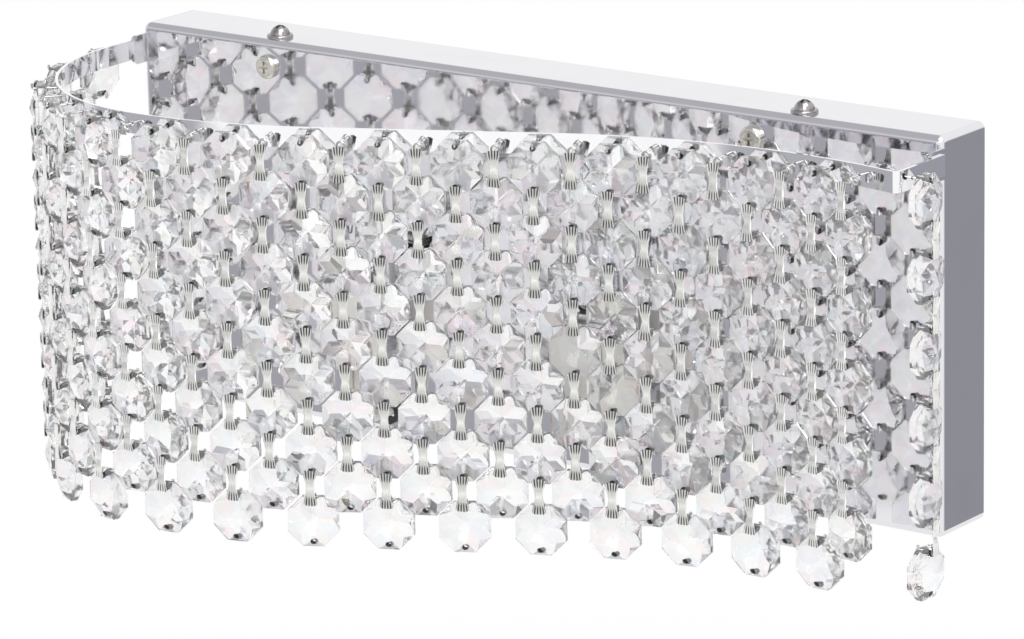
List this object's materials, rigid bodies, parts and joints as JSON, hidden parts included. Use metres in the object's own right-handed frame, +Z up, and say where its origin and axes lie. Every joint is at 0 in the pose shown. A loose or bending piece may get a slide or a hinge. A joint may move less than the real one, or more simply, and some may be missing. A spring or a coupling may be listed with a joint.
{
  "type": "wall sconce",
  "caption": "Wall sconce with a shallow mirror box, two lamps and a curved band carrying a curtain of hanging crystal strands.",
  "frame": {"origin": "middle of the wall bracket's slot pattern, in the plane of the wall", "axes": "+X along the lamp, +Y into the wall, +Z up"},
  "size_m": [0.2764, 0.0993, 0.1189],
  "materials": {
    "chromed_box": "mirror chrome on folded steel",
    "chromed_band": "mirror chrome strip",
    "chromed_fastener": "bright chrome",
    "nickel_fastener": "bright nickel",
    "chromed_wire": "bright wire",
    "zinc_steel": "zinc-plated sheet",
    "steel_fastener": "zinc plated",
    "brass_fastener": "bright brass",
    "ceramic": "glazed ceramic",
    "bulb_glass": "clear glass",
    "filament": "drawn wire",
    "pin_wire": "drawn wire",
    "terminal_plastic": "moulded",
    "bush_plastic": "moulded",
    "lead_insulation": "sleeved wire",
    "earth_insulation": "green and yellow insulation",
    "crystal": "cut and polished crystal with bright clips"
  },
  "bodies": {
    "lamp_base": {"back_box": "chromed_box", "bracket_nuts": "steel_fastener", "bracket_screws": "steel_fastener", "bulb_filament_left": "filament", "bulb_filament_right": "filament", "bulb_glass_left": "bulb_glass", "bulb_glass_right": "bulb_glass", "bulb_pins": "pin_wire", "carrier_nuts": "steel_fastener", "carrier_screws": "nickel_fastener", "crystal_band": "chromed_band", "earth_lead": "earth_insulation", "earth_screw": "brass_fastener", "holder_screws": "steel_fastener", "lamp_bracket_left": "zinc_steel", "lamp_bracket_right": "zinc_steel", "lamp_carrier": "zinc_steel", "lamp_holder_left": "ceramic", "lamp_holder_right": "ceramic", "lamp_leads": "lead_insulation", "lead_bushes": "bush_plastic", "locking_screws": "chromed_fastener", "strand_hooks": "chromed_wire", "terminal_block": "terminal_plastic", "terminal_fixing_screw": "steel_fastener", "terminal_screws": "brass_fastener", "wall_bracket": "zinc_steel"},
    "strand_01": {"strand_01": "crystal"},
    "strand_02": {"strand_02": "crystal"},
    "strand_03": {"strand_03": "crystal"},
    "strand_04": {"strand_04": "crystal"},
    "strand_05": {"strand_05": "crystal"},
    "strand_06": {"strand_06": "crystal"},
    "strand_07": {"strand_07": "crystal"},
    "strand_08": {"strand_08": "crystal"},
    "strand_09": {"strand_09": "crystal"},
    "strand_10": {"strand_10": "crystal"},
    "strand_11": {"strand_11": "crystal"},
    "strand_12": {"strand_12": "crystal"},
    "strand_13": {"strand_13": "crystal"},
    "strand_14": {"strand_14": "crystal"},
    "strand_15": {"strand_15": "crystal"},
    "strand_16": {"strand_16": "crystal"},
    "strand_17": {"strand_17": "crystal"},
    "strand_18": {"strand_18": "crystal"},
    "strand_19": {"strand_19": "crystal"},
    "strand_20": {"strand_20": "crystal"},
    "strand_21": {"strand_21": "crystal"},
    "strand_22": {"strand_22": "crystal"},
    "strand_23": {"strand_23": "crystal"},
    "strand_24": {"strand_24": "crystal"},
    "strand_25": {"strand_25": "crystal"},
    "strand_26": {"strand_26": "crystal"},
    "strand_27": {"strand_27": "crystal"},
    "strand_28": {"strand_28": "crystal"},
    "strand_29": {"strand_29": "crystal"},
    "strand_30": {"strand_30": "crystal"},
    "strand_31": {"strand_31": "crystal"}
  },
  "joints": [
    {"name": "strand_01_swing", "type": "hinge", "parent": "lamp_base", "child": "strand_01", "pos_m": [-0.1346, -0.0335, 0.0455], "axis": [0, 1, 0], "range_deg": [-3.5, 10]},
    {"name": "strand_02_swing", "type": "hinge", "parent": "lamp_base", "child": "strand_02", "pos_m": [-0.13384, -0.0442, 0.04455], "axis": [-0.1571, 0.9876, 0], "range_deg": [-3.75, 10]},
    {"name": "strand_03_swing", "type": "hinge", "parent": "lamp_base", "child": "strand_03", "pos_m": [-0.13121, -0.05468, 0.0455], "axis": [-0.3286, 0.9445, 0], "range_deg": [-3.5, 10]},
    {"name": "strand_04_swing", "type": "hinge", "parent": "lamp_base", "child": "strand_04", "pos_m": [-0.12677, -0.06453, 0.04455], "axis": [-0.4899, 0.8718, 0], "range_deg": [-3.75, 10]},
    {"name": "strand_05_swing", "type": "hinge", "parent": "lamp_base", "child": "strand_05", "pos_m": [-0.12066, -0.07345, 0.0455], "axis": [-0.6358, 0.7718, 0], "range_deg": [-3.5, 10]},
    {"name": "strand_06_swing", "type": "hinge", "parent": "lamp_base", "child": "strand_06", "pos_m": [-0.11308, -0.08115, 0.04455], "axis": [-0.7619, 0.6477, 0], "range_deg": [-3.75, 10]},
    {"name": "strand_07_swing", "type": "hinge", "parent": "lamp_base", "child": "strand_07", "pos_m": [-0.10426, -0.08739, 0.0455], "axis": [-0.8641, 0.5034, 0], "range_deg": [-3.5, 10]},
    {"name": "strand_08_swing", "type": "hinge", "parent": "lamp_base", "child": "strand_08", "pos_m": [-0.09448, -0.09199, 0.04455], "axis": [-0.9392, 0.3433, 0], "range_deg": [-3.75, 10]},
    {"name": "strand_09_swing", "type": "hinge", "parent": "lamp_base", "child": "strand_09", "pos_m": [-0.08404, -0.09478, 0.0455], "axis": [-0.985, 0.1725, 0], "range_deg": [-3.5, 10]},
    {"name": "strand_10_swing", "type": "hinge", "parent": "lamp_base", "child": "strand_10", "pos_m": [-0.07328, -0.0957, 0.04455], "axis": [-1, -0.0019, 0], "range_deg": [-3.75, 10]},
    {"name": "strand_11_swing", "type": "hinge", "parent": "lamp_base", "child": "strand_11", "pos_m": [-0.06285, -0.09523, 0.0455], "axis": [-0.9961, -0.0886, 0], "range_deg": [-5, 10]},
    {"name": "strand_12_swing", "type": "hinge", "parent": "lamp_base", "child": "strand_12", "pos_m": [-0.0525, -0.09385, 0.04455], "axis": [-0.9846, -0.1747, 0], "range_deg": [-5.5, 10]},
    {"name": "strand_13_swing", "type": "hinge", "parent": "lamp_base", "child": "strand_13", "pos_m": [-0.04231, -0.09158, 0.0455], "axis": [-0.9658, -0.2595, 0], "range_deg": [-5, 10]},
    {"name": "strand_14_swing", "type": "hinge", "parent": "lamp_base", "child": "strand_14", "pos_m": [-0.03236, -0.08844, 0.04455], "axis": [-0.9396, -0.3423, 0], "range_deg": [-5.5, 10]},
    {"name": "strand_15_swing", "type": "hinge", "parent": "lamp_base", "child": "strand_15", "pos_m": [-0.02271, -0.08444, 0.0455], "axis": [-0.9064, -0.4225, 0], "range_deg": [-5, 10]},
    {"name": "strand_16_swing", "type": "hinge", "parent": "lamp_base", "child": "strand_16", "pos_m": [-0.01358, -0.08008, 0.04455], "axis": [-0.9018, -0.4321, 0], "range_deg": [-5.5, 10]},
    {"name": "strand_17_swing", "type": "hinge", "parent": "lamp_base", "child": "strand_17", "pos_m": [-0.0045, -0.07572, 0.0455], "axis": [-0.9018, -0.4321, 0], "range_deg": [-10, 10]},
    {"name": "strand_18_swing", "type": "hinge", "parent": "lamp_base", "child": "strand_18", "pos_m": [0.00459, -0.07137, 0.04455], "axis": [-0.9018, -0.4321, 0], "range_deg": [-10, 10]},
    {"name": "strand_19_swing", "type": "hinge", "parent": "lamp_base", "child": "strand_19", "pos_m": [0.01368, -0.06702, 0.0455], "axis": [-0.9018, -0.4321, 0], "range_deg": [-10, 10]},
    {"name": "strand_20_swing", "type": "hinge", "parent": "lamp_base", "child": "strand_20", "pos_m": [0.02277, -0.06266, 0.04455], "axis": [-0.9018, -0.4321, 0], "range_deg": [-9.5, 10]},
    {"name": "strand_21_swing", "type": "hinge", "parent": "lamp_base", "child": "strand_21", "pos_m": [0.03186, -0.05831, 0.0455], "axis": [-0.9018, -0.4321, 0], "range_deg": [-6.75, 1.25]},
    {"name": "strand_22_swing", "type": "hinge", "parent": "lamp_base", "child": "strand_22", "pos_m": [0.04084, -0.05415, 0.04455], "axis": [-0.9194, -0.3933, 0], "range_deg": [-3.25, 1.5]},
    {"name": "strand_23_swing", "type": "hinge", "parent": "lamp_base", "child": "strand_23", "pos_m": [0.04997, -0.0506, 0.0455], "axis": [-0.9437, -0.3307, 0], "range_deg": [-3.25, 1.25]},
    {"name": "strand_24_swing", "type": "hinge", "parent": "lamp_base", "child": "strand_24", "pos_m": [0.05931, -0.04768, 0.04455], "axis": [-0.9638, -0.2666, 0], "range_deg": [-10, 1.5]},
    {"name": "strand_25_swing", "type": "hinge", "parent": "lamp_base", "child": "strand_25", "pos_m": [0.06883, -0.04538, 0.0455], "axis": [-0.9795, -0.2013, 0], "range_deg": [-10, 1.25]},
    {"name": "strand_26_swing", "type": "hinge", "parent": "lamp_base", "child": "strand_26", "pos_m": [0.07849, -0.04374, 0.04455], "axis": [-0.9908, -0.1351, 0], "range_deg": [-10, 1.5]},
    {"name": "strand_27_swing", "type": "hinge", "parent": "lamp_base", "child": "strand_27", "pos_m": [0.08823, -0.04274, 0.0455], "axis": [-0.9977, -0.0683, 0], "range_deg": [-9.5, 1.25]},
    {"name": "strand_28_swing", "type": "hinge", "parent": "lamp_base", "child": "strand_28", "pos_m": [0.09802, -0.0424, 0.04455], "axis": [-1, -0.0011, 0], "range_deg": [-10, 1.5]},
    {"name": "strand_29_swing", "type": "hinge", "parent": "lamp_base", "child": "strand_29", "pos_m": [0.1078, -0.04272, 0.0455], "axis": [-0.9978, 0.066, 0], "range_deg": [-9.5, 1.25]},
    {"name": "strand_30_swing", "type": "hinge", "parent": "lamp_base", "child": "strand_30", "pos_m": [0.11755, -0.04369, 0.04455], "axis": [-0.9911, 0.1328, 0], "range_deg": [-2, 1.5]},
    {"name": "strand_31_swing", "type": "hinge", "parent": "lamp_base", "child": "strand_31", "pos_m": [0.1346, -0.03518, 0.0455], "axis": [0, -1, 0], "range_deg": [-2, 10]}
  ]
}
